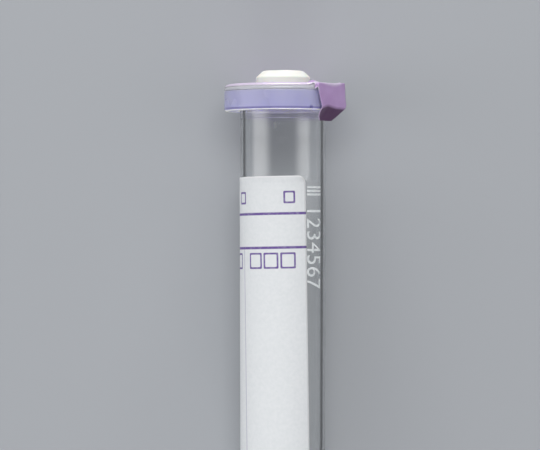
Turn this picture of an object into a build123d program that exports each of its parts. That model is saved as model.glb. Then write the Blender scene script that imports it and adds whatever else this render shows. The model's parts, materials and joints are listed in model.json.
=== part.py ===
"""Evacuated blood collection tube with a film seal, lying on its side.

The tube is one clear moulding with a round bottom and a flange round its
mouth. A translucent colour ring sits on the neck under the flange, a laminate
film with a folded pull tab seals the mouth, a rubber septum stands on the film,
and a paper label is wrapped round the body.

Units are millimetres. Z = 0 is the surface that the tube lies on, touched by
the colour ring and by the round bottom. The axis runs along +Y towards the
mouth, and rises a little, because the ring is wider than the tube.

Inside the script a place on the tube is given by its height, measured along
the axis from the tip of the round bottom, by its radius, and by its turn,
measured about the axis from straight up towards +X.
"""

from math import acos, atan2, cos, degrees, hypot, isclose, radians, sin, tan
import os

from build123d import *

# --- Driving dimensions -----------------------------------------------------

# Tube
tube_length = 75.8          # tip of the round bottom to the top of the flange
tube_diameter = 13.0        # outside, just under the neck band
tube_wall = 0.72
tube_draft = 0.15           # degrees a side, the bottom end is the narrow one
flange_diameter = 17.9
flange_thickness = 0.9
flange_edge_radius = 0.75   # its rounded upper edge, as far as its thickness allows
neck_band_rise = 0.05       # how far the band under the flange stands proud
neck_band_flare = 0.02      # how much further at the flange, so that the ring grips it
neck_band_drop = 1.2        # how far the band reaches below the colour ring
mouth_edge_radius = 0.2     # the rounded inner edge of the mouth

# Colour ring
ring_height = 3.0
ring_lip_radius = 0.35      # its rounded lower edge, outside
ring_clearance = 0.02       # between its bore and the widest part of the neck band
gate_width = 0.35           # the nick where its moulding gate was cut off
gate_depth = 0.2
gate_turn = 28.0

# Sealing film
film_thickness = 0.15
film_clearance = 0.02       # between its bent edge and the flange's round edge
film_wrap = 55.0            # degrees that its edge follows the flange's edge
tab_width = 7.0
tab_turn = 55.0
tab_stand_off = 0.15        # between the flange's rim and the hanging tab
tab_bend_radius = 0.5       # outside of the bend at the top
tab_hang = 3.75             # top of the film down to the fold of the tip
tab_fold_radius = 0.4       # outside of the fold of the tip
tab_fold_angle = 31.0
tab_tip_length = 2.0
tab_corner_cut = 2.0

# Septum
septum_diameter = 8.3
septum_height = 2.08
septum_bevel_width = 1.1
septum_bevel_height = 1.0
septum_bevel_radius = 0.25  # softens the bevel's outer edge
septum_top_radius = 0.4     # softens the bevel's inner edge

# Label
label_thickness = 0.1
label_width = 26.0          # round the tube
label_top_gap = 9.85        # bare tube between the label and the colour ring
label_bottom_gap = 12.05    # tip of the round bottom to the label
label_turn = 30.0           # the edge towards +X
label_corner_radius = 1.2

# --- Worked out from them ---------------------------------------------------

tube_radius = tube_diameter / 2
flange_radius = flange_diameter / 2
slope = tan(radians(tube_draft))
flange_underside = tube_length - flange_thickness
ring_bottom = flange_underside - ring_height
neck_band_bottom = ring_bottom - neck_band_drop
neck_band_radius = tube_radius + neck_band_rise
neck_top_radius = neck_band_radius + neck_band_flare
ring_bore_radius = neck_top_radius + ring_clearance
flange_edge = min(flange_edge_radius, 0.9 * flange_thickness)
flange_edge_height = tube_length - flange_edge
flange_edge_inset = flange_radius - flange_edge
film_top = tube_length + film_thickness
septum_top = film_top + septum_height
septum_radius = septum_diameter / 2
septum_flat_radius = septum_radius - septum_bevel_width
label_top = ring_bottom - label_top_gap
label_bottom = label_bottom_gap
neck_bottom = label_top     # the neck is of even width, and the draft begins at the label


def outer_radius(height):
    """Outside radius of the drafted body at a height, under the neck."""
    return tube_radius - (neck_bottom - height) * slope


# The round bottom is half a ball as wide as the body is where they meet.
bottom_radius = (tube_radius - neck_bottom * slope) / (1 - slope)
bore_bottom_radius = bottom_radius - tube_wall
mouth_radius = tube_radius - tube_wall
mouth_edge_inset = mouth_radius + mouth_edge_radius
mouth_edge_height = tube_length - mouth_edge_radius

# The tab runs out over the flange, hangs down outside the ring and folds in.
tab_root = flange_radius / 2
tab_outside = flange_radius + tab_stand_off + film_thickness
tab_bend_inset = tab_outside - tab_bend_radius
tab_bend_height = film_top - tab_bend_radius
tab_fold_inset = tab_outside - tab_fold_radius
tab_fold_height = film_top - tab_hang

# The surface touches the round bottom and the ring's rounded lower edge, and
# that sets how far the axis rises.
lip_centre_height = ring_bottom + ring_lip_radius
lip_centre_radius = flange_radius - ring_lip_radius
lip_reach = lip_centre_height - bottom_radius
rise_angle = (
    acos((bottom_radius - ring_lip_radius) / hypot(lip_centre_radius, lip_reach))
    - atan2(lip_reach, lip_centre_radius)
)

# The tip of the round bottom is placed so that the whole part is centred on Y.
low_end = bottom_radius * (cos(rise_angle) - 1)
high_end = septum_top * cos(rise_angle) + septum_flat_radius * sin(rise_angle)
tip = Vector(0, -(low_end + high_end) / 2, bottom_radius * (1 - sin(rise_angle)))

along = Vector(0, cos(rise_angle), sin(rise_angle))
upward = Vector(0, -sin(rise_angle), cos(rise_angle))
sideways = Vector(1, 0, 0)
tube_axis = Axis(tip, along)


def outward(turn):
    """Direction away from the axis at a turn."""
    return upward * cos(radians(turn)) + sideways * sin(radians(turn))


def lengthwise_plane(turn):
    """Plane through the axis: local x is the radius and local y the height."""
    return Plane(origin=tip, x_dir=outward(turn), z_dir=outward(turn).cross(along))


# --- Tube: round bottom, body, neck band and flange, one moulding ------------

with BuildPart() as tube:
    with BuildSketch(lengthwise_plane(90)):
        with BuildLine():
            CenterArc((0, bottom_radius), bottom_radius, -90, 90)
            Polyline(
                (bottom_radius, bottom_radius),
                (tube_radius, neck_bottom),
                (tube_radius, neck_band_bottom),
                (neck_band_radius, neck_band_bottom + neck_band_rise),
                (neck_top_radius, flange_underside),
                (flange_radius, flange_underside),
                (flange_radius, flange_edge_height),
            )
            CenterArc((flange_edge_inset, flange_edge_height), flange_edge, 0, 90)
            Line((flange_edge_inset, tube_length), (mouth_edge_inset, tube_length))
            CenterArc((mouth_edge_inset, mouth_edge_height), mouth_edge_radius, 90, 90)
            Polyline(
                (mouth_radius, mouth_edge_height),
                (mouth_radius, neck_bottom),
                (bore_bottom_radius, bottom_radius),
            )
            CenterArc((0, bottom_radius), bore_bottom_radius, 0, -90)
            Line((0, tube_wall), (0, 0))
        make_face()
    revolve(axis=tube_axis)

# --- Colour ring: slipped up the neck against the flange ---------------------

with BuildPart() as colour_ring:
    with BuildSketch(lengthwise_plane(90)):
        with BuildLine():
            Polyline(
                (flange_radius, lip_centre_height),
                (flange_radius, flange_underside),
                (ring_bore_radius, flange_underside),
                (ring_bore_radius, ring_bottom),
                (lip_centre_radius, ring_bottom),
            )
            CenterArc((lip_centre_radius, lip_centre_height), ring_lip_radius, -90, 90)
        make_face()
    revolve(axis=tube_axis)
    with BuildSketch(lengthwise_plane(gate_turn)):
        with Locations((flange_radius, lip_centre_height + gate_depth)):
            Rectangle(2 * gate_depth, 2 * gate_depth)
    extrude(amount=gate_width / 2, both=True, mode=Mode.SUBTRACT)

# --- Sealing film: a disc with its edge bent down, and the folded tab --------

with BuildPart() as sealing_film:
    with BuildSketch(lengthwise_plane(90)):
        with BuildLine():
            disc_top = Line((0, film_top), (flange_edge_inset, film_top))
            disc_edge = CenterArc(
                (flange_edge_inset, flange_edge_height),
                flange_edge + film_thickness,
                90,
                -film_wrap,
            )
            disc_bend = CenterArc(
                (flange_edge_inset, flange_edge_height),
                flange_edge + film_clearance,
                90,
                -film_wrap,
            )
            Line(disc_edge @ 1, disc_bend @ 1)
            Polyline(disc_bend @ 0, (flange_edge_inset, tube_length), (0, tube_length), (0, film_top))
        make_face()
    revolve(axis=tube_axis)
    with BuildSketch(lengthwise_plane(tab_turn)):
        with BuildLine():
            Line((tab_root, film_top), (tab_bend_inset, film_top))
            CenterArc((tab_bend_inset, tab_bend_height), tab_bend_radius, 90, -90)
            Line((tab_outside, tab_bend_height), (tab_outside, tab_fold_height))
            tip_fold = CenterArc(
                (tab_fold_inset, tab_fold_height), tab_fold_radius, 0, -tab_fold_angle
            )
            Line(tip_fold @ 1, tip_fold @ 1 + (tip_fold % 1) * tab_tip_length)
            offset(amount=film_thickness, side=Side.RIGHT)
        make_face()
    extrude(amount=tab_width / 2, both=True)
    tip_corners = sealing_film.edges().filter_by(
        lambda edge: isclose(edge.length, film_thickness, rel_tol=0.001)
    )
    chamfer(tip_corners, tab_corner_cut)

# --- Septum: a rubber disc with a bevelled edge, bonded on the film ----------

with BuildPart() as septum:
    with BuildSketch(lengthwise_plane(90)):
        with BuildLine():
            Polyline(
                (0, film_top),
                (septum_radius, film_top),
                (septum_radius, septum_top - septum_bevel_height),
                (septum_flat_radius, septum_top),
                (0, septum_top),
                (0, film_top),
            )
        make_face()
    revolve(axis=tube_axis)
    base_edge, bevel_edge, top_edge = septum.edges().filter_by(GeomType.CIRCLE).sort_by(tube_axis)
    fillet(bevel_edge, septum_bevel_radius)
    fillet(top_edge, septum_top_radius)

# --- Label: wrapped part of the way round the drafted body -------------------

label_wrap = degrees(label_width / tube_radius)

with BuildPart() as label:
    with BuildSketch(lengthwise_plane(label_turn - label_wrap)):
        with BuildLine():
            Polyline(
                (outer_radius(label_bottom), label_bottom),
                (outer_radius(label_bottom) + label_thickness, label_bottom),
                (outer_radius(label_top) + label_thickness, label_top),
                (outer_radius(label_top), label_top),
                (outer_radius(label_bottom), label_bottom),
            )
        make_face()
    revolve(axis=tube_axis, revolution_arc=label_wrap)
    for turn, side in ((label_turn, 1), (label_turn - label_wrap, -1)):
        for height, end in ((label_top, -1), (label_bottom, 1)):
            # Local x and y run from the corner into the label.
            corner_plane = Plane(
                origin=tip + along * height + outward(turn) * outer_radius(height),
                x_dir=along * end,
                z_dir=outward(turn) * (side * end),
            )
            with BuildSketch(corner_plane):
                Rectangle(2 * label_corner_radius, 2 * label_corner_radius)
                with Locations((label_corner_radius, label_corner_radius)):
                    Circle(label_corner_radius, mode=Mode.SUBTRACT)
            extrude(amount=label_corner_radius, both=True, mode=Mode.SUBTRACT)

# --- One file for each piece -------------------------------------------------

os.makedirs("parts", exist_ok=True)

pieces = {
    "tube": tube,
    "colour_ring": colour_ring,
    "sealing_film": sealing_film,
    "septum": septum,
    "label": label,
}
for name, piece in pieces.items():
    piece.part.label = name
    export_step(piece.part, f"parts/{name}.step")
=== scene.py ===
"""Looks of an evacuated blood collection tube that lies on a pale surface.

The five pieces of the model are made again with finer edges and real finishes:
the clear tube, the translucent colour ring, the sealing film with its pull tab,
the rubber septum and the paper label. White bars and figures are printed on the
tube.

Each piece is shaped in millimetres in the tube's own frame: x is sideways, y is
down and z is the height along the axis from the tip of the round bottom. A turn
is an angle about that axis, measured from straight up towards +x. The finished
shape is then laid in its place, in metres.
"""

import json
from math import atan2, ceil, cos, degrees, exp, hypot, pi, radians, sin, tan, tau

import bmesh
import bpy
from mathutils import Matrix, Vector, noise


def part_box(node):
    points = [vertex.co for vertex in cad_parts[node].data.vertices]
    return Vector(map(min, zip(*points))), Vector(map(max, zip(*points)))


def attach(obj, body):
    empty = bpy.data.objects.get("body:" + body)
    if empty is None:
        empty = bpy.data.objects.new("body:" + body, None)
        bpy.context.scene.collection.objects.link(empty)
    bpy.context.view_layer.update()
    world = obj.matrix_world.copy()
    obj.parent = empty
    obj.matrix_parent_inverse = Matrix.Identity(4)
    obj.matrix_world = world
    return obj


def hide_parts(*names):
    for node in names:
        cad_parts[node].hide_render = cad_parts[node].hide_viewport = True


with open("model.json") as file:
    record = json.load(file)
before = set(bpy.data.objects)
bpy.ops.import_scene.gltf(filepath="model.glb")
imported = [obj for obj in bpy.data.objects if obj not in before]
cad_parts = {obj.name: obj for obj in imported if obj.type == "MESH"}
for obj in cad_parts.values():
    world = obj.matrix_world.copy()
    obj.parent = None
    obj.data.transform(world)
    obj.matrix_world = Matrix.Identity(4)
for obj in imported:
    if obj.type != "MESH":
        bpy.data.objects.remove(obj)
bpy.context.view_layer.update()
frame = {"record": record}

# --- Sizes, in millimetres and degrees -------------------------------------------

mm = 0.001
mounts = {mount["name"]: mount for mount in frame["record"]["mounts"]}
neck = mounts["neck"]
neck_length = neck["dims"]["length_mm"]
tube_radius = neck["dims"]["r_mm"]


def half_width(node):
    """Half of a piece's width across the tube."""
    low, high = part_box(node)
    return (high.x - low.x) / 2 / mm


# Tube
flange_radius = half_width("tube")
flange_thickness = 0.9
flange_edge = 0.75              # radius of its rounded upper edge
flange_lower_edge = 0.04
flange_root = 0.12              # radius between the neck and the flange
tube_length = 75.8
tube_wall = 0.72
tube_draft = 0.15               # a side
mouth_edge = 0.2
mouth_band = 0.5                # the top of the bore, with the look of the outside
neck_band_rise = 0.05
neck_band_flare = 0.02
neck_band_edge = 0.05
neck_band_toe = 0.04            # how far its slope reaches down the plain neck
mould_lines = (67.3, 67.85)     # heights of fine rings round the neck
mould_line_depth = 0.02
mould_line_width = 0.16
sealed_rim = 1.5                # from the bore out to where the rim's painted highlight begins
flow_mark_turn = -11.0          # a dull streak that the moulding left
flow_mark_height = 69.6
flow_mark_width = 0.5
flow_mark_length = 1.5
flow_mark_roughness = 0.55

# Colour ring
ring_height = 3.0
ring_lip = 0.35                 # radius of its rounded lower edge
ring_edge = 0.04                # its other edges
ring_bore_edge = 0.2            # the bevel at the top of its bore
ring_clearance = 0.02           # between its bore and the neck band
ring_drop = 0.02                # between its top and the flange
gate_turn = 28.0
gate_depth = 0.2
gate_width = 0.35
gate_step = 0.05                # from the nick up to the full ring

# Sealing film
film_thickness = 0.15
film_wrap = 55.0                # angle of the flange's edge that it covers
seal_depth = 0.01               # the film's coating is melted on to the flange
film_edge_start = 8.2           # flat distance from the axis to its bent edge
film_edge_rings = 7             # steps in the bent edge
tab_turn = 55.0
tab_stand_off = 0.15            # between the flange's rim and the hanging tab
tab_bend = 0.35                 # radius of the bend at the top, outside
tab_hang = 3.75                 # top of the film down to the fold of the tip
tab_fold = 0.6                  # radius of that fold, outside
tab_fold_angle = 35.0
tab_tip = 2.0
tab_root = 3.85                 # half of the rim's chord that the tab grows from
tab_rim_gap = 0.25              # from the flange's rim to the flat tab's first row
tab_row = 0.12                  # the longest step between its rows
tab_outline = (
    # flat distance from the axis, then how far the left and the right edge are from the middle
    (9.2, 4.3, 3.0),
    (10.2, 3.75, 3.2),
    (11.5, 3.4, 3.35),
    (12.6, 3.05, 3.6),
    (12.9, 3.0, 3.45),
    (13.8, 2.85, 2.75),
    (14.6, 2.25, 2.1),
    (15.0, 1.6, 1.6),
)

# Flat distances from the axis to the rings of points in the film's flat part
film_rings = (0.01, 1, 2, 3, 4, 4.6, 5.2, 5.8, 6.4, 6.9, 7.3, 7.7, 8.0)

# Unevenness of the film. Each pair is where it begins and where it is in full.
film_sag = 0.04                 # how far it sinks round the septum, at most
film_sag_reach = (4.4, 6.5)
film_ripple = 0.03              # how far its edge is pressed in, at most
film_ripple_reach = (7.8, 9.0)
tab_side = (4.6, 3.9)           # across the tab, from the disc to the tab
tab_front = (3.0, 7.0)          # along the tab, from the disc to the tab
tab_hanging = (8.6, 10.5)
tab_wave = 0.1                  # how far its face swings in and out
tab_dip = 0.02                  # how far its top sinks, at most
tab_curl = 0.1                  # how far its edges curl in
tab_curl_side = (2.9, 3.6)
tab_corner_lift = 0.25          # how far its right corner stands up
tab_corner_side = (0.5, 3.2)
tab_corner_front = (7.5, 9.2)

# The fold of the tip is highest at its peak, and runs down to both sides.
fold_peak = -1.5                # across the tab
fold_rise = 0.62                # above a level fold, before the peak is rounded
fold_slope = 0.215              # fall to both sides
fold_tilt = 0.07                # rise to the right
fold_rounding = 0.35

# The crease at the tab's root runs along the tab.
crease_height = 0.42
crease_place = -2.75            # across the tab
crease_width = 0.32
crease_begins = (6.2, 7.1)      # flat distances from the axis, towards the tab
crease_ends = (7.1, 8.8)

# Colours of the film, by flat distance from the axis
film_stretch_and_highlight = (8.15, 8.5)    # it turns pale, stretched and with a painted highlight of its bend
film_pale_ends = (9.2, 9.8)       # it is violet again
sealant_ends = (9.6, 10.6)      # its inner side turns from white to violet
fold_shade = 0.55               # past the fold, where the painted shade of its tip is darkest

# Septum
septum_radius = half_width("septum")
septum_height = 2.08
septum_bevel_width = 1.1
septum_bevel_height = 1.0
septum_foot_edge = 0.07         # how far each of its soft edges reaches from its corner
septum_side_edge = 0.16
septum_top_edge = 0.28
septum_gap = 0.01               # between it and the film
septum_wobble = 0.05            # how uneven its top is, at most
septum_squeeze = 0.2            # share of its width that each millimetre of that takes off
septum_even_foot = 0.2          # height of the part that stays even

# Label
label_thickness = 0.09
label_width = 26.0
label_top_gap = 9.85
label_bottom = 12.05
label_turn = 30.1               # its edge towards +x
label_corner = 1.2
label_skew = 1.1                # it was stuck on a little askew
label_gap = 0.015               # between the tube and the label
label_lift = 0.012              # how far it stands off unevenly, on average
label_strip = 0.4               # width of the strips in which it bends round the tube
label_band = 1.25               # length of the steps in which it follows the tube

# Print on the label, in millimetres to the left of its right edge and down from its top
rule_heights = (5.65, 10.75)
rule_width = 0.38
column_place = 10.7
column_width = 0.16
field_line = 0.26
field_corner = 0.3
ink_edge = 0.03                 # how far a printed edge fades to each side
fields = (
    # across, down, width, height
    (2.6, 3.2, 1.5, 1.6),
    (11.0, 3.2, 1.5, 1.6),
    (2.95, 12.7, 2.05, 2.15),
    (5.55, 12.7, 2.05, 2.15),
    (8.15, 12.7, 2.05, 2.15),
    (12.6, 12.7, 2.05, 2.15),
)

# White print on the tube
print_turn = 46.4
print_gap = 0.006               # between the tube and the ink
print_thickness = 0.012
print_strip = 0.3               # width of the strips in which it bends round the tube
figures = "1234567"
figures_top = 56.7
figure_pitch = 1.83
figure_height = 3.0
figure_stretch = 3.4            # width of a figure to that of its letter
bars = 3
bars_top = 60.3
bar_pitch = 0.55
bar_length = 3.0
bar_width = 0.3

# --- Worked out from them --------------------------------------------------------

flange_underside = tube_length - flange_thickness
ring_bottom = flange_underside - ring_height
label_top = ring_bottom - label_top_gap
label_length = label_top - label_bottom
neck_bottom = label_top
neck_band_bottom = neck_bottom + neck_length
slope = tan(radians(tube_draft))
bottom_radius = (tube_radius - neck_bottom * slope) / (1 - slope)
film_top = tube_length + film_thickness
septum_top = film_top + septum_height

# The hanging tab's outside, and the flat distances from the axis at which it bends and ends
tab_outside = flange_radius + tab_stand_off + film_thickness
tab_bend_start = tab_outside - tab_bend
tab_bend_end = tab_bend_start + tab_bend * pi / 2
tab_fold_length = tab_fold * radians(tab_fold_angle)
tab_end = tab_bend_end + tab_hang - tab_bend + tab_fold_length + tab_tip

# The septum's flat top stands on the axis, which places everything else.
along = Vector(mounts["septum_top"]["axis"]).normalized()
sideways = Vector((1, 0, 0))
upward = sideways.cross(along)
tip = Vector(mounts["septum_top"]["pos_m"]) - along * septum_top * mm
laid = Matrix((sideways * mm, -upward * mm, along * mm)).transposed().to_4x4()
laid.translation = tip


def outer_radius(height):
    """Outside radius of the neck and the drafted body at a height."""
    return tube_radius - max(0, neck_bottom - height) * slope


def around(turn, radius, height):
    """Point in the tube's frame."""
    angle = radians(turn)
    return Vector((radius * sin(angle), -radius * cos(angle), height))


def ease(value, start, end):
    """Smooth step from 0 at start to 1 at end."""
    share = min(1, max(0, (value - start) / (end - start)))
    return share * share * (3 - 2 * share)


# --- Making pieces ---------------------------------------------------------------


def arc(centre, radius, start, end, steps):
    """Points of an arc in a (radius, height) outline, between two angles."""
    angles = [radians(start + (end - start) * step / steps) for step in range(steps + 1)]
    return [(centre[0] + radius * cos(a), centre[1] + radius * sin(a)) for a in angles]


def rounded(before, corner, after, reach, steps=4):
    """Points of a curve that rounds a corner, from reach before it to reach past it."""
    corner = Vector(corner)
    start = corner + (Vector(before) - corner).normalized() * reach
    end = corner + (Vector(after) - corner).normalized() * reach
    shares = [step / steps for step in range(steps + 1)]
    return [(start.lerp(corner, s).lerp(corner.lerp(end, s), s))[:] for s in shares]


def guarded(outline, reach=0.06):
    """Outline with a point near both ends of each long run, which keeps its shading flat."""
    points = [outline[0]]
    for start, end in zip(outline, outline[1:]):
        run = Vector(end) - Vector(start)
        if run.length > 8 * reach:
            inward = run.normalized() * reach
            points += [(Vector(start) + inward)[:], (Vector(end) - inward)[:]]
        points.append(end)
    return points


def spun(outline, steps):
    """Shape spun about the tube's axis from an outline of (radius, height) points."""
    shape = bmesh.new()
    points = [shape.verts.new((radius, 0, height)) for radius, height in outline]
    lines = [shape.edges.new(pair) for pair in zip(points, points[1:])]
    bmesh.ops.spin(
        shape,
        geom=points + lines,
        cent=(0, 0, 0),
        axis=(0, 0, 1),
        angle=tau,
        steps=steps,
        use_merge=True,
    )
    bmesh.ops.remove_doubles(shape, verts=shape.verts, dist=0.0001)
    return shape


def lathe(outline, steps=240):
    """Closed shape spun from an outline, which it keeps in its profile map."""
    shape = spun(guarded(outline), steps)
    bmesh.ops.recalc_face_normals(shape, faces=shape.faces)
    add_map(shape, "profile", lambda point: (hypot(point.x, point.y), point.z))
    return shape


def add_map(shape, name, place):
    """Add a UV map that holds a pair of numbers for each point of a shape."""
    layer = shape.loops.layers.uv.new(name)
    for face in shape.faces:
        for loop in face.loops:
            loop[layer].uv = place(loop.vert.co)


def flat_sheet(width, length):
    """Flat rectangle about the origin."""
    shape = bmesh.new()
    bmesh.ops.create_grid(shape, x_segments=1, y_segments=1, size=0.5)
    bmesh.ops.scale(shape, vec=(width, length, 1), verts=shape.verts)
    return shape


def cut_in_strips(shape, direction, low, high, step):
    """Cut a flat shape across, so that it can bend."""
    for count in range(1, ceil((high - low) / step)):
        place = Vector(direction) * (low + count * step)
        geometry = shape.verts[:] + shape.edges[:] + shape.faces[:]
        bmesh.ops.bisect_plane(shape, geom=geometry, plane_co=place, plane_no=direction)


def face_sheet(shape, direction):
    """Turn a sheet's faces all one way, so that most of it faces a direction."""
    bmesh.ops.recalc_face_normals(shape, faces=shape.faces)
    facing = sum((face.normal * face.calc_area() for face in shape.faces), Vector())
    if facing.dot(direction) < 0:
        bmesh.ops.reverse_faces(shape, faces=shape.faces)


def finished(shape, name, material, crease=30, node=None):
    """Lay a shape in its place and make it a piece of the model."""
    shape.transform(laid)
    mesh = bpy.data.meshes.new(name)
    shape.to_mesh(mesh)
    shape.free()
    mesh.shade_smooth()
    mesh.set_sharp_from_angle(angle=radians(crease))
    mesh.materials.append(material)
    piece = bpy.data.objects.new(name, mesh)
    bpy.context.scene.collection.objects.link(piece)
    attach(piece, "root")
    if node:
        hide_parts(node)
    return piece


def thickened(piece, thickness, offset, back=None):
    """Give a sheet its thickness, and its back and its edges their own material."""
    wall = piece.modifiers.new("thickness", "SOLIDIFY")
    wall.thickness = thickness * mm
    wall.offset = offset
    if back:
        piece.data.materials.append(back)
        wall.material_offset = 1
        wall.material_offset_rim = 1
    return wall


# --- Finishes --------------------------------------------------------------------


class Nodes:
    """Short ways to add nodes to a tree."""

    def __init__(self, tree):
        self.tree = tree

    def feed(self, value, socket):
        """Link an output to a socket, or set the socket's own value."""
        if isinstance(value, bpy.types.NodeSocket):
            self.tree.links.new(value, socket)
        else:
            socket.default_value = value

    def node(self, kind, **inputs):
        """Add a node. Its inputs take a value or another node's output."""
        new = self.tree.nodes.new("ShaderNode" + kind)
        for name, value in inputs.items():
            self.feed(value, new.inputs[name.replace("_", " ")])
        return new

    def math(self, operation, *values):
        """Math node over numbers and outputs."""
        new = self.node("Math")
        new.operation = operation
        for value, socket in zip(values, new.inputs):
            self.feed(value, socket)
        return new.outputs[0]

    def vector_math(self, operation, *values):
        """Vector Math node over vectors and outputs."""
        new = self.node("VectorMath")
        new.operation = operation
        for value, socket in zip(values, new.inputs):
            self.feed(value, socket)
        return new.outputs["Value" if operation in ("LENGTH", "DISTANCE") else "Vector"]

    def parts(self, vector):
        """The x and the y of a vector."""
        return self.node("SeparateXYZ", Vector=vector).outputs[:2]

    def spread(self, value, low, high, start=0.3, end=0.7):
        """Carry a value from start..end to low..high."""
        new = self.node("MapRange", Value=value, To_Min=low, To_Max=high)
        new.inputs["From Min"].default_value = start
        new.inputs["From Max"].default_value = end
        return new.outputs["Result"]

    def rising(self, value, start, end):
        """0 up to start, and 1 from end on."""
        return self.spread(value, 0, 1, start, end)

    def falling(self, value, start, end):
        """1 up to start, and 0 from end on."""
        return self.spread(value, 1, 0, start, end)


def surface_mottle():
    """Group that gives an uneven tone and a height at a coarse and a fine scale."""
    group = bpy.data.node_groups.new("surface_mottle", "ShaderNodeTree")
    sockets = group.interface
    sockets.new_socket("Place", in_out="INPUT", socket_type="NodeSocketVector")
    sockets.new_socket("Coarse Scale", in_out="INPUT", socket_type="NodeSocketFloat")
    sockets.new_socket("Fine Scale", in_out="INPUT", socket_type="NodeSocketFloat")
    sockets.new_socket("Tone", in_out="OUTPUT", socket_type="NodeSocketFloat")
    sockets.new_socket("Height", in_out="OUTPUT", socket_type="NodeSocketFloat")
    given = group.nodes.new("NodeGroupInput").outputs
    result = group.nodes.new("NodeGroupOutput").inputs
    nodes = Nodes(group)
    coarse = nodes.node("TexNoise", Vector=given["Place"], Scale=given["Coarse Scale"], Detail=3)
    fine = nodes.node("TexNoise", Vector=given["Place"], Scale=given["Fine Scale"], Detail=5)
    height = nodes.math("MULTIPLY_ADD", fine.outputs["Fac"], 0.35, coarse.outputs["Fac"])
    nodes.feed(coarse.outputs["Fac"], result["Tone"])
    nodes.feed(height, result["Height"])
    return group


mottle_group = surface_mottle()


class Finish(Nodes):
    """A material on the Principled shader, with short ways to colour it."""

    def __init__(self, name, **settings):
        self.material = bpy.data.materials.new(name)
        self.material.use_nodes = True
        super().__init__(self.material.node_tree)
        self.shader = self.tree.nodes["Principled BSDF"]
        self.set(**settings)

    def set(self, **inputs):
        """Give the shader's sockets values or outputs."""
        for name, value in inputs.items():
            self.feed(value, self.shader.inputs[name.replace("_", " ")])

    def place(self):
        """Object coordinates."""
        return self.node("TexCoord").outputs["Object"]

    def map(self, name):
        """One of the piece's own UV maps."""
        new = self.node("UVMap")
        new.uv_map = name
        return new.outputs["UV"]

    def profile(self):
        """Radius and height on a piece that was made on the lathe."""
        return self.parts(self.map("profile"))

    def facing(self):
        """0 where a surface is met square on, and 1 where it is met edge on."""
        return self.node("LayerWeight", Blend=0.5).outputs["Facing"]

    def mottle(self, coarse, fine):
        """Tone and height of the mottle group at two scales, in turns for each metre."""
        new = self.tree.nodes.new("ShaderNodeGroup")
        new.node_tree = mottle_group
        self.feed(self.place(), new.inputs["Place"])
        self.feed(coarse, new.inputs["Coarse Scale"])
        self.feed(fine, new.inputs["Fine Scale"])
        return new.outputs["Tone"], new.outputs["Height"]

    def blend(self, share, first, second):
        """Mix two colours. The Mix node's colours are its inputs 6 and 7 and its output 2."""
        new = self.node("Mix")
        new.data_type = "RGBA"
        self.feed(share, new.inputs["Factor"])
        self.feed(first, new.inputs[6])
        self.feed(second, new.inputs[7])
        return new.outputs[2]

    def two_tone(self, tone, dark, light):
        """Colour that follows the mottle's tone."""
        return self.blend(self.spread(tone, 0, 1), dark, light)

    def spot(self, point, full, reach):
        """1 within full of a point of the tube's frame, fading to 0 at reach from it."""
        distance = self.vector_math("DISTANCE", self.place(), laid @ point)
        return self.falling(distance, full * mm, reach * mm)

    def oval(self, point, width, length):
        """1 in an upright oval round a point of the tube's frame, fading to 0 at its edge."""
        offset = self.vector_math("SUBTRACT", self.place(), laid @ point)
        scale = (2 / width / mm, 2 / length / mm, 2 / width / mm)
        reach = self.vector_math("LENGTH", self.vector_math("MULTIPLY", offset, scale))
        return self.falling(reach, 0.3, 1)

    def relief(self, height, depth, strength):
        """Bump of a height, as deep as depth in millimetres."""
        new = self.node("Bump", Height=height, Distance=depth * mm, Strength=strength)
        self.set(Normal=new.outputs["Normal"])

    def let_light_through(self, square_on, edge_on):
        """Let lamps shine through a clear piece, less so where its wall is met edge on."""
        steep = self.rising(self.facing(), 0.15, 1)
        tint = self.blend(steep, (*[square_on] * 3, 1), (*[edge_on] * 3, 1))
        straight = self.node("BsdfTransparent", Color=tint)
        path = self.node("LightPath").outputs
        unseen = self.math("MAXIMUM", path["Is Shadow Ray"], path["Is Diffuse Ray"])
        mix = self.node("MixShader", Fac=unseen)
        self.feed(self.shader.outputs[0], mix.inputs[1])
        self.feed(straight.outputs[0], mix.inputs[2])
        self.feed(mix.outputs[0], self.tree.nodes["Material Output"].inputs["Surface"])


def linear(red, green, blue):
    """Colour of 0 to 255 display values, in linear light, with full alpha."""
    return (*[((part / 255 + 0.055) / 1.055) ** 2.4 for part in (red, green, blue)], 1)


def clear_plastic(name, painted_edge_shades):
    """Clear moulded plastic, with a painted lilac cast of the ring beside it, and a dull flow
    mark.

    The painted edge shades go from square on to edge on, each with its facing value.
    """
    finish = Finish(name, IOR=1.57, Transmission_Weight=1.0)
    tone, height = finish.mottle(260, 1500)
    mark = around(flow_mark_turn, tube_radius, flow_mark_height)
    streak = finish.oval(mark, flow_mark_width, flow_mark_length)
    dull = finish.math("MULTIPLY", streak, flow_mark_roughness)
    rough = finish.math("MAXIMUM", finish.spread(tone, 0.015, 0.05), dull)
    # Painted shade: the wall darkens towards edge on, where it would show dark surroundings.
    edge = finish.node("ValToRGB", Fac=finish.facing())
    ramp = edge.color_ramp.elements
    ramp[0].color = (0.982, 0.988, 0.988, 1)
    ramp[1].color = (0.85, 0.86, 0.87, 1)
    for position, shade in painted_edge_shades:
        ramp.new(position).color = (shade, shade * 1.01, shade * 1.01, 1)
    # Painted lilac cast of the ring's colour on the neck beside it.
    height_up = finish.profile()[1]
    near_ring = finish.rising(height_up, neck_band_bottom - 0.1, neck_band_bottom + 0.1)
    painted_ring_cast = finish.blend(near_ring, (1, 1, 1, 1), linear(250, 248, 255))
    colour = finish.blend(1.0, edge.outputs["Color"], painted_ring_cast)
    colour.node.blend_type = "MULTIPLY"
    finish.set(Base_Color=colour, Roughness=rough)
    finish.relief(height, 0.004, 0.5)
    finish.let_light_through(1.0, 0.88)
    return finish.material


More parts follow.
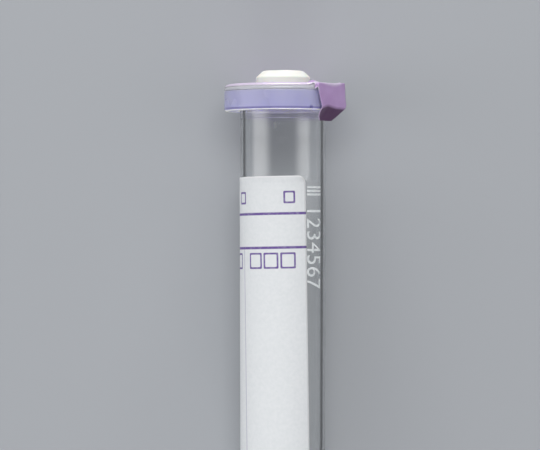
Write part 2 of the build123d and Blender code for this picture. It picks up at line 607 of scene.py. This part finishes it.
def painted_highlight_rim():
    """The flange's edge, painted whitish as a highlight, and painted darker towards its foot."""
    finish = Finish("sealed_rim", IOR=1.57, Transmission_Weight=0.3)
    tone, height = finish.mottle(420, 2400)
    # Painted highlight: the rim is whitish all over.
    colour = finish.two_tone(tone, linear(232, 232, 238), linear(244, 244, 248))
    height_up = finish.profile()[1]
    # Painted shade: darker towards the flange's underside.
    low = finish.falling(height_up, flange_underside, flange_underside + 0.45)
    colour = finish.blend(low, colour, linear(206, 206, 218))
    finish.set(Base_Color=colour, Roughness=finish.spread(tone, 0.1, 0.22))
    finish.relief(height, 0.003, 0.3)
    finish.let_light_through(0.9, 0.6)
    return finish.material


def violet_plastic():
    """Milky translucent plastic, with painted shade along its lip and in the nick of its gate, a
    painted lighter bore and painted highlights at its lower rims.
    """
    finish = Finish("violet_plastic", IOR=1.5, Subsurface_Weight=0.8, Subsurface_Scale=0.0015)
    finish.set(Subsurface_Radius=(1.0, 1.0, 1.4))
    tone, height = finish.mottle(120, 1800)
    radius, height_up = finish.profile()
    colour = finish.two_tone(tone, linear(177, 176, 211), linear(185, 184, 218))
    # Painted light: the bore is lighter, as if lit.
    in_bore = finish.falling(radius, tube_radius + 0.12, tube_radius + 0.3)
    colour = finish.blend(in_bore, colour, linear(226, 224, 240))
    # Painted shade: a dark violet line along the outside of the lower lip.
    outside = finish.rising(radius, flange_radius - 0.45, flange_radius - 0.3)
    low = finish.spread(height_up, 0.7, 0, ring_bottom + 0.36, ring_bottom + 0.5)
    colour = finish.blend(finish.math("MULTIPLY", outside, low), colour, linear(100, 92, 150))
    # Painted shade in the nick of the gate.
    painted_gate_shade = finish.spot(around(gate_turn, flange_radius, ring_bottom + ring_lip), 0.15, 0.38)
    colour = finish.blend(finish.math("MULTIPLY", painted_gate_shade, 0.9), colour, linear(84, 76, 130))
    # Painted highlights: whiter rims on the underside, which is lighter overall, as if lit from
    # below.
    inner_rim = finish.falling(radius, tube_radius + 0.5, tube_radius + 0.8)
    outer_rim = finish.rising(radius, flange_radius - 0.7, flange_radius - 0.5)
    painted_rim_highlights = finish.math("MAXIMUM", inner_rim, outer_rim)
    painted_underside = finish.blend(painted_rim_highlights, linear(190, 188, 214), linear(252, 251, 254))
    under = finish.falling(height_up, ring_bottom + 0.06, ring_bottom + 0.14)
    colour = finish.blend(under, colour, painted_underside)
    finish.set(Base_Color=colour, Roughness=finish.spread(tone, 0.24, 0.32))
    finish.relief(height, 0.0006, 0.3)
    return finish.material


def violet_film():
    """Satin laminate film, pale where it is stretched over the edge with a painted highlight
    there, and with painted shade on the tip that folds under.
    """
    finish = Finish("violet_film", Metallic=0.3, Specular_IOR_Level=0.6)
    tone, height = finish.mottle(420, 2600)
    colour = finish.two_tone(tone, linear(190, 154, 206), linear(201, 168, 217))
    reach = finish.vector_math("LENGTH", finish.map("flat"))
    # Paler band over the flange's edge: partly stretched film, partly a painted highlight of its
    # bend.
    stretch_and_highlight = finish.spread(reach, 0, 0.6, *film_stretch_and_highlight)
    stretch_and_highlight = finish.math("MULTIPLY", stretch_and_highlight, finish.falling(reach, *film_pale_ends))
    colour = finish.blend(stretch_and_highlight, colour, linear(240, 234, 244))
    # Painted shade on the tip, which folds under and faces down.
    past_fold = finish.parts(finish.map("fold"))[0]
    colour = finish.blend(finish.rising(past_fold, 0, fold_shade), colour, linear(79, 46, 83))
    finish.set(Base_Color=colour, Roughness=finish.spread(tone, 0.32, 0.42))
    finish.relief(height, 0.04, 0.5)
    return finish.material


def sealant():
    """White heat-seal coating on the film's inner side, violet on the tab."""
    finish = Finish("film_sealant", Metallic=0.1)
    tone, height = finish.mottle(500, 3000)
    colour = finish.two_tone(tone, linear(226, 220, 231), linear(238, 234, 241))
    ahead = finish.parts(finish.map("flat"))[0]
    colour = finish.blend(finish.rising(ahead, *sealant_ends), colour, linear(178, 158, 192))
    finish.set(Base_Color=colour, Roughness=finish.spread(tone, 0.35, 0.5))
    finish.relief(height, 0.01, 0.4)
    return finish.material


def white_rubber():
    """Ivory rubber with a fine matt grain, painted yellower at its side to offset the pink light
    that the film throws on it.
    """
    finish = Finish("white_rubber", Subsurface_Weight=0.15, Subsurface_Scale=0.001)
    tone, height = finish.mottle(500, 5200)
    colour = finish.two_tone(tone, linear(235, 236, 225), linear(243, 244, 235))
    # Painted tint: the side is yellower to offset the pink light that the film throws on it.
    bevel_foot = septum_top - septum_bevel_height
    side = finish.falling(finish.profile()[1], bevel_foot - 0.15, bevel_foot + 0.15)
    colour = finish.blend(side, colour, linear(236, 245, 226))
    finish.set(Base_Color=colour, Roughness=finish.spread(tone, 0.5, 0.62))
    finish.relief(height, 0.02, 0.5)
    return finish.material


def plain_paper(name):
    """White paper with fine fibres. Gives the finish, the paper's colour and its height."""
    finish = Finish(name, Roughness=0.6, Specular_IOR_Level=0.35)
    tone, height = finish.mottle(1900, 7500)
    paper = finish.two_tone(tone, linear(235, 238, 239), linear(241, 243, 244))
    finish.set(Base_Color=paper)
    finish.relief(height, 0.012, 0.45)
    return finish, paper, height


def label_paper():
    """The label's face, printed with violet rules and empty fields, with a painted highlight
    along its cut edge.
    """
    finish, paper, height = plain_paper("label_paper")
    across, down = finish.parts(finish.map("flat"))

    def from_line(value, place):
        """Distance of a value from a line's place."""
        return finish.math("ABSOLUTE", finish.math("SUBTRACT", value, place))

    def past_sides(x, y, half_wide, half_high):
        """How far a point is past a box's side and past its end, below 0 inside."""
        past_side = finish.math("SUBTRACT", from_line(across, x), half_wide)
        past_end = finish.math("SUBTRACT", from_line(down, y), half_high)
        return past_side, past_end

    def stroke(distance, width):
        """1 within a printed line, at a distance from its middle."""
        return finish.falling(distance, width / 2 - ink_edge, width / 2 + ink_edge)

    strokes = [stroke(from_line(down, rule), rule_width) for rule in rule_heights]
    for x, y, wide, high in fields:
        from_box = finish.math("SMOOTH_MAX", *past_sides(x, y, wide / 2, high / 2), field_corner)
        strokes.append(stroke(finish.math("ABSOLUTE", from_box), field_line))
    lower_rule = rule_heights[1]
    column = stroke(from_line(across, column_place), column_width)
    below_rule = finish.spread(down, 0, 0.45, lower_rule - 0.05, lower_rule)
    strokes.append(finish.math("MULTIPLY", column, below_rule))
    ink = strokes[0]
    for other in strokes[1:]:
        ink = finish.math("MAXIMUM", ink, other)

    # The cut edge is a little whiter, a painted highlight, and is found by its distance from the
    # straight parts.
    half_wide, half_high = label_width / 2, label_length / 2
    past_side, past_end = past_sides(
        half_wide, half_high, half_wide - label_corner, half_high - label_corner
    )
    corner = finish.node("CombineXYZ")
    finish.feed(finish.math("MAXIMUM", past_side, 0), corner.inputs["X"])
    finish.feed(finish.math("MAXIMUM", past_end, 0), corner.inputs["Y"])
    from_corner = finish.vector_math("LENGTH", corner.outputs["Vector"])
    painted_edge_highlight = finish.rising(from_corner, label_corner - 0.24, label_corner - 0.1)
    paper = finish.blend(painted_edge_highlight, paper, linear(254, 254, 254))

    uneven = finish.math("MULTIPLY", ink, finish.spread(height, 0.82, 1.0, 0.5, 0.7))
    finish.set(Base_Color=finish.blend(uneven, paper, linear(112, 88, 158)))
    return finish.material


def white_ink():
    """Opaque white ink with thin spots."""
    finish = Finish("white_ink", Roughness=0.45)
    tone, height = finish.mottle(1500, 6000)
    finish.set(Base_Color=finish.two_tone(tone, linear(226, 231, 232), linear(244, 247, 247)))
    finish.relief(height, 0.01, 0.4)
    return finish.material


# --- Pieces ----------------------------------------------------------------------


def tube():
    """One clear moulding: round bottom, drafted body, neck band and flange."""
    bore_bottom = bottom_radius - tube_wall
    bore = tube_radius - tube_wall
    mouth = bore + mouth_edge
    band = tube_radius + neck_band_rise
    band_top = band + neck_band_flare
    band_centre = (band - neck_band_edge, neck_band_bottom + neck_band_edge)
    root_centre = (band_top + flange_root, flange_underside - flange_root)
    lower_centre = (flange_radius - flange_lower_edge, flange_underside + flange_lower_edge)
    edge_centre = (flange_radius - flange_edge, tube_length - flange_edge)
    half_line = mould_line_width / 2
    groove = ((-half_line, 0), (0, mould_line_depth), (half_line, 0))
    mould_marks = [
        (tube_radius - depth, line + rise) for line in mould_lines for rise, depth in groove
    ]
    outline = [
        *arc((0, bottom_radius), bottom_radius, -90, 0, 28),
        (tube_radius, neck_bottom),
        *mould_marks,
        (tube_radius, neck_band_bottom - neck_band_toe),
        *arc(band_centre, neck_band_edge, 0, 60, 3)[::-1],
        (band_top, root_centre[1]),
        *arc(root_centre, flange_root, 180, 90, 4),
        *arc(lower_centre, flange_lower_edge, -90, 0, 4),
        *arc(edge_centre, flange_edge, 0, 90, 12),
        *arc((mouth, tube_length - mouth_edge), mouth_edge, 90, 180, 6),
        (bore, neck_bottom),
        *arc((0, bottom_radius), bore_bottom, 0, -90, 28),
    ]
    shape = lathe(outline)
    close = 0.05
    bore_top = tube_length - mouth_band
    for face in shape.faces:
        middle = face.calc_center_median()
        radius = hypot(middle.x, middle.y)
        in_bore = radius < bore + close and bottom_radius < middle.z < bore_top
        on_rim = radius > bore + sealed_rim and middle.z > flange_underside + close
        face.material_index = 1 if in_bore else 2 if on_rim else 0
    # Painted shade: a dark line runs inside the silhouette, and the bore is darker at its sides,
    # where the wall would show dark surroundings.
    painted_dark_line = ((0.48, 0.982), (0.55, 0.04), (0.635, 0.04), (0.67, 0.5), (0.8, 0.62))
    painted_dark_sides = ((0.4, 0.982), (0.6, 0.76), (0.75, 0.5))
    outside = clear_plastic("clear_plastic", painted_dark_line)
    piece = finished(shape, "clear_tube", outside, node="tube")
    piece.data.materials.append(clear_plastic("clear_plastic_bore", painted_dark_sides))
    piece.data.materials.append(painted_highlight_rim())


def colour_ring():
    """Ring under the flange, with a rounded lower lip and the nick of its gate."""
    bore = tube_radius + neck_band_rise + neck_band_flare + ring_clearance
    top = flange_underside - ring_drop
    gate_top = ring_bottom + ring_lip + gate_depth
    outline = [
        (bore, ring_bottom + ring_edge),
        *arc((flange_radius - ring_lip, ring_bottom + ring_lip), ring_lip, -90, 0, 8),
        (flange_radius, gate_top),
        (flange_radius, gate_top + gate_step),
        *arc((flange_radius - ring_edge, top - ring_edge), ring_edge, 0, 90, 3),
        (bore + ring_bore_edge, top),
        (bore, top - ring_bore_edge),
        (bore, ring_bottom + ring_edge),
    ]
    shape = lathe(outline, steps=360)
    for point in shape.verts:
        turn = degrees(atan2(point.co.x, -point.co.y))
        beside = abs(turn - gate_turn) * radians(flange_radius)
        outer = hypot(point.co.x, point.co.y) > (bore + flange_radius) / 2
        if outer and beside < gate_width / 2 and point.co.z < gate_top + gate_step / 2:
            point.co.xy *= 1 - gate_depth / flange_radius
    finished(shape, "colour_ring", violet_plastic(), node="colour_ring")


def fold_start(across):
    """Flat distance from the axis to the fold of the tab's tip."""
    from_peak = across - fold_peak
    rise = fold_rise + fold_tilt * from_peak - fold_slope * hypot(from_peak, fold_rounding)
    return tab_bend_end + tab_hang - tab_bend - rise


def film_over_edge(reach):
    """(radius, height) of the film's top at a flat distance from the axis."""
    start = flange_radius - flange_edge
    bend = flange_edge + film_thickness
    if reach <= start:
        return reach, film_top
    angle = (reach - start) / bend
    return start + bend * sin(angle), film_top - bend * (1 - cos(angle))


def tab_over_ring(reach, across):
    """(radius, height) of the tab's outside at a flat distance from the axis."""
    fold = fold_start(across)
    if reach <= tab_bend_start:
        return reach, film_top
    if reach <= tab_bend_end:
        angle = (reach - tab_bend_start) / tab_bend
        return tab_bend_start + tab_bend * sin(angle), film_top - tab_bend * (1 - cos(angle))
    if reach <= fold:
        return tab_outside, film_top - tab_bend - (reach - tab_bend_end)
    angle = min(reach - fold, tab_fold_length) / tab_fold
    past_fold = max(0, reach - fold - tab_fold_length)
    radius = tab_outside - tab_fold * (1 - cos(angle)) - past_fold * sin(angle)
    drop = fold - tab_bend_end + tab_fold * sin(angle) + past_fold * cos(angle)
    return radius, film_top - tab_bend - drop


def sealed_film(ahead, across, crease):
    """Place a flat point of the film on the mouth, where ahead is towards the tab."""
    reach = hypot(ahead, across)
    radius, height = film_over_edge(reach)
    ripple = noise.noise(Vector((ahead * 1.6, across * 1.6, 0.4)))
    radius -= film_ripple * ease(reach, *film_ripple_reach) * abs(ripple)
    place = around(tab_turn + degrees(atan2(across, ahead)), radius, height)
    sag = 0.5 + 0.5 * noise.noise(place * 0.7)
    place.z += crease - film_sag * ease(reach, *film_sag_reach) * sag
    return place


def hanging_tab(ahead, across, crease):
    """Place a flat point of the film on the folded tab, with its waves and its uneven edges."""
    radius, height = tab_over_ring(ahead, across)
    wave = 0.5 + 0.5 * noise.noise(Vector((ahead * 0.5, across * 0.55, 5.1)))
    hanging = ease(ahead, *tab_hanging)
    radius += (tab_wave - 2 * tab_wave * wave) * hanging
    radius -= tab_curl * ease(abs(across), *tab_curl_side) * hanging
    height += crease - tab_dip * wave
    height += tab_corner_lift * ease(across, *tab_corner_side) * ease(ahead, *tab_corner_front)
    angle = radians(tab_turn)
    beside = Vector((cos(angle), sin(angle), 0))
    return around(tab_turn, radius, height) + beside * across


def bent_film(ahead, across):
    """Place a flat point of the film, which runs smoothly from the mouth to the tab."""
    crease = crease_height * exp(-(((across - crease_place) / crease_width) ** 2))
    crease *= ease(ahead, *crease_begins) * (1 - ease(ahead, *crease_ends))
    sealed = sealed_film(ahead, across, crease)
    share = ease(abs(across), *tab_side) * ease(ahead, *tab_front)
    return sealed.lerp(hanging_tab(ahead, across, crease), share) if share else sealed


def tab_edges(reach):
    """How far the flat tab's left and right edges are from its middle."""
    for (start, *near), (end, *far) in zip(tab_outline, tab_outline[1:]):
        if reach <= end:
            share = max(0, (reach - start) / (end - start))
            return [a + (b - a) * share for a, b in zip(near, far)]
    return tab_outline[-1][1:]


def grow_tab(shape):
    """Grow the flat tab out of the disc's rim on its side, row by row."""
    row = [
        edge
        for edge in shape.edges
        if edge.is_boundary
        and all(point.co.x > 0 and abs(point.co.y) < tab_root for point in edge.verts)
    ]
    start = flange_radius + tab_rim_gap
    rows = ceil((tab_end - start) / tab_row)
    last_left = last_right = max(abs(point.co.y) for edge in row for point in edge.verts)
    for step in range(rows + 1):
        reach = start + (tab_end - start) * step / rows
        new = bmesh.ops.extrude_edge_only(shape, edges=row)["geom"]
        left, right = tab_edges(reach)
        for point in new:
            if isinstance(point, bmesh.types.BMVert):
                point.co.x = reach
                point.co.y *= right / last_right if point.co.y > 0 else left / last_left
        last_left, last_right = left, right
        row = [edge for edge in new if isinstance(edge, bmesh.types.BMEdge)]


def sealing_film():
    """Film over the mouth, with its edge bent down and its tab folded over the ring."""
    rim = flange_radius - flange_edge + (flange_edge + film_thickness) * radians(film_wrap)
    edge_length = rim - film_edge_start
    edge_steps = range(film_edge_rings + 1)
    edge_rings = [film_edge_start + edge_length * step / film_edge_rings for step in edge_steps]
    shape = spun([(reach, 0) for reach in (*film_rings, *edge_rings)], steps=300)
    middle = [edge for edge in shape.edges if edge.is_boundary and edge.verts[0].co.length < 0.1]
    bmesh.ops.holes_fill(shape, edges=middle)
    grow_tab(shape)
    add_map(shape, "flat", lambda point: point.xy)
    add_map(shape, "fold", lambda point: (point.x - fold_start(point.y), point.y))
    for point in shape.verts:
        point.co = bent_film(point.co.x, point.co.y)
    face_sheet(shape, Vector((0, 0, 1)))
    piece = finished(
        shape, "sealing_film", violet_film(), 60, node="sealing_film"
    )
    wall = thickened(piece, film_thickness + seal_depth, -1, back=sealant())
    wall.use_even_offset = True


def septum():
    """Rubber disc with soft bevels, not quite even, on the film."""
    foot = (septum_radius, film_top + septum_gap)
    side = (septum_radius, septum_top - septum_bevel_height)
    flat = (septum_radius - septum_bevel_width, septum_top)
    middle_below, middle_above = (0, foot[1]), (0, septum_top)
    outline = [
        middle_below,
        *rounded(middle_below, foot, side, septum_foot_edge, 2),
        *rounded(foot, side, flat, septum_side_edge),
        *rounded(side, flat, middle_above, septum_top_edge, 6),
        middle_above,
    ]
    shape = lathe(outline, steps=160)
    for point in shape.verts:
        wobble = septum_wobble * abs(noise.noise(point.co * 0.45))
        point.co.z -= wobble * ease(point.co.z, film_top + septum_even_foot, septum_top)
        point.co.x *= 1 - wobble * septum_squeeze
    finished(shape, "septum", white_rubber(), node="septum")


def label():
    """Paper label round the body, with rounded corners, stuck on a little askew."""
    shape = flat_sheet(label_width, label_length)
    to_corner = (label_width / 2, label_length / 2, 0)
    bmesh.ops.translate(shape, vec=to_corner, verts=shape.verts)
    bmesh.ops.bevel(
        shape,
        geom=shape.verts[:],
        offset=label_corner,
        affect="VERTICES",
        segments=10,
        profile=0.5,
        material=-1,
    )
    cut_in_strips(shape, (1, 0, 0), 0, label_width, label_strip)
    cut_in_strips(shape, (0, 1, 0), 0, label_length, label_band)
    add_map(shape, "flat", lambda point: point.xy)
    skew = radians(label_skew)
    for point in shape.verts:
        across, down = point.co.x, point.co.y
        left = across * cos(skew) - down * sin(skew)
        height = label_top - (down * cos(skew) + across * sin(skew))
        lift = label_lift * (1 + noise.noise(Vector((across * 0.35, down * 0.2, 2.0))))
        radius = outer_radius(height) + label_gap + lift
        point.co = around(label_turn - degrees(left / tube_radius), radius, height)
    middle_turn = label_turn - degrees(label_width / 2 / tube_radius)
    face_sheet(shape, around(middle_turn, 1, 0))
    piece = finished(shape, "label", label_paper(), node="label")
    thickened(piece, label_thickness, 1, back=plain_paper("label_back")[0].material)


def flat_figure(character):
    """A plain figure as a flat shape, centred, at the size it is printed."""
    curve = bpy.data.curves.new("figure", "FONT")
    curve.body = character
    curve.resolution_u = 6
    holder = bpy.data.objects.new("figure", curve)
    mesh = bpy.data.meshes.new_from_object(holder)
    shape = bmesh.new()
    shape.from_mesh(mesh)
    bpy.data.objects.remove(holder)
    bpy.data.curves.remove(curve)
    bpy.data.meshes.remove(mesh)
    low = Vector([min(point.co[axis] for point in shape.verts) for axis in range(3)])
    high = Vector([max(point.co[axis] for point in shape.verts) for axis in range(3)])
    bmesh.ops.translate(shape, vec=-(low + high) / 2, verts=shape.verts)
    scale = (figure_stretch, figure_height / (high.y - low.y), 1)
    bmesh.ops.scale(shape, vec=scale, verts=shape.verts)
    return shape


def printed(shape, name, ink, height, length):
    """Print a flat shape at a height on the tube: its x runs down and its y round it."""
    cut_in_strips(shape, (0, 1, 0), -length / 2, length / 2, print_strip)
    for point in shape.verts:
        place = height - point.co.x
        turn = print_turn + degrees(point.co.y / tube_radius)
        point.co = around(turn, outer_radius(place) + print_gap, place)
    bmesh.ops.recalc_face_normals(shape, faces=shape.faces)
    thickened(finished(shape, name, ink), print_thickness, 1)


def white_print():
    """Plain bars and a row of figures printed on the tube."""
    ink = white_ink()
    for count, character in enumerate(figures):
        height = figures_top - count * figure_pitch
        name = f"printed_figure_{character}"
        printed(flat_figure(character), name, ink, height, figure_height)
    for count in range(bars):
        height = bars_top - count * bar_pitch
        name = f"printed_bar_{count + 1}"
        printed(flat_sheet(bar_width, bar_length), name, ink, height, bar_length)


tube()
colour_ring()
sealing_film()
septum()
label()
white_print()

# --- Surface, light and camera, in metres ----------------------------------------

surface_width = 4
surface_drop = 0.00002          # keeps the surface just clear of the tube
lamp_aim = Vector((0, 0.02, 0.008))


def floor():
    """Pale surface under the tube."""
    shape = flat_sheet(surface_width, surface_width)
    bmesh.ops.translate(shape, vec=(0, 0, -surface_drop), verts=shape.verts)
    mesh = bpy.data.meshes.new("floor")
    shape.to_mesh(mesh)
    shape.free()
    finish = Finish("pale_surface", Roughness=0.7, Specular_IOR_Level=0.2)
    finish.set(Base_Color=linear(176, 179, 183))
    mesh.materials.append(finish.material)
    surface = bpy.data.objects.new("floor", mesh)
    bpy.context.scene.collection.objects.link(surface)


def soft_box(name, place, size, power, full=0.3):
    """Lamp aimed at the tube. Its size is its level side, then its sloping side.

    Full is where it begins to fade towards its sides, as a share of its size from its middle.
    """
    lamp = bpy.data.lights.new(name, "AREA")
    lamp.shape = "RECTANGLE"
    lamp.size, lamp.size_y = size
    lamp.energy = power
    lamp.use_nodes = True
    nodes = Nodes(lamp.node_tree)
    fades = []
    for side in nodes.parts(nodes.node("NewGeometry").outputs["Parametric"]):
        from_middle = nodes.math("ABSOLUTE", nodes.math("SUBTRACT", side, 0.5))
        fade = nodes.rising(from_middle, 0.5, full)
        fade.node.interpolation_type = "SMOOTHSTEP"
        fades.append(fade)
    emission = lamp.node_tree.nodes["Emission"]
    nodes.feed(nodes.math("MULTIPLY", *fades), emission.inputs["Strength"])
    holder = bpy.data.objects.new(name, lamp)
    holder.location = place
    holder.rotation_euler = (lamp_aim - Vector(place)).to_track_quat("-Z", "Y").to_euler()
    bpy.context.scene.collection.objects.link(holder)


floor()
soft_box("left_box", (-0.505, 0.03, 0.18), (0.4, 0.95), 2.2, 0.05)
soft_box("right_box", (0.486, 0.03, 0.245), (0.4, 0.8), 0.6, 0.05)
soft_box("upper_box", (0, 0.26, 0.56), (0.5, 0.26), 1.9)
soft_box("lower_box", (0, -0.22, 0.58), (0.5, 0.26), 0.2)
soft_box("back_box", (0, 0.5, 0.1), (0.5, 0.18), 2.6)
soft_box("low_box", (0, -0.44, 0.09), (0.4, 0.16), 2.2)

world = bpy.data.worlds.new("room")
world.use_nodes = True
world.node_tree.nodes["Background"].inputs["Color"].default_value = (0.26, 0.265, 0.28, 1)
bpy.context.scene.world = world
bpy.context.scene.view_settings.view_transform = "Standard"

# The camera looks straight down on the tube. Its place and its lens are in millimetres.
camera_height = 54.6            # along the tube
camera_distance = 413.0         # from the axis
camera_side = -2.0

lens = bpy.data.cameras.new("camera")
lens.sensor_width = 36
lens.lens = 180.9
camera = bpy.data.objects.new("camera", lens)
camera.location = tip + (
    along * camera_height + upward * camera_distance + sideways * camera_side
) * mm
camera.rotation_euler = (atan2(along.z, along.y), 0, 0)
bpy.context.scene.collection.objects.link(camera)
bpy.context.scene.camera = camera
